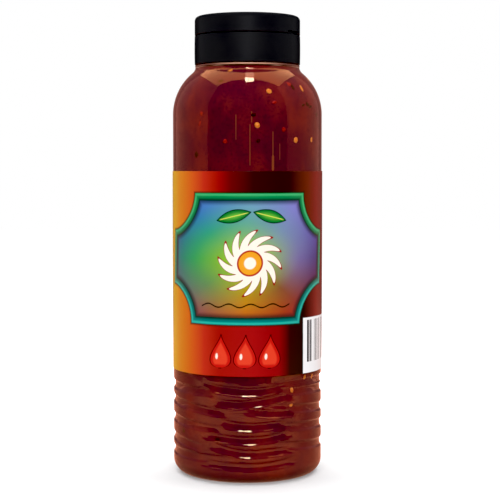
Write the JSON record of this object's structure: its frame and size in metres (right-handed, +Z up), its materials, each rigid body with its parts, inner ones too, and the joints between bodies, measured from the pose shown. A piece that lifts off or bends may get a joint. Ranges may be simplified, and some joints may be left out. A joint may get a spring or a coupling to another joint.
{
  "type": "chilli sauce bottle",
  "caption": "Clear round squeeze bottle full of red chilli sauce, with wavy grip grooves, a wrap-round printed label and a shut black flip-top cap.",
  "frame": {"origin": "centre of the bottle's base, on the surface it stands on", "axes": "+Z up along the bottle's axis, -Y out of the label's front"},
  "size_m": [0.0804, 0.0804, 0.244],
  "materials": {
    "clear_plastic": "clear, glossy blown plastic",
    "sauce": "thick wet red-brown sauce with seeds and flakes",
    "label": "glossy printed film",
    "black_plastic": "satin moulded plastic"
  },
  "bodies": {
    "root": {"bottle": "clear_plastic", "sauce": "sauce", "label": "label", "cap_skirt": "black_plastic", "cap_lid": "black_plastic", "cap_hinge": "black_plastic"}
  },
  "joints": []
}
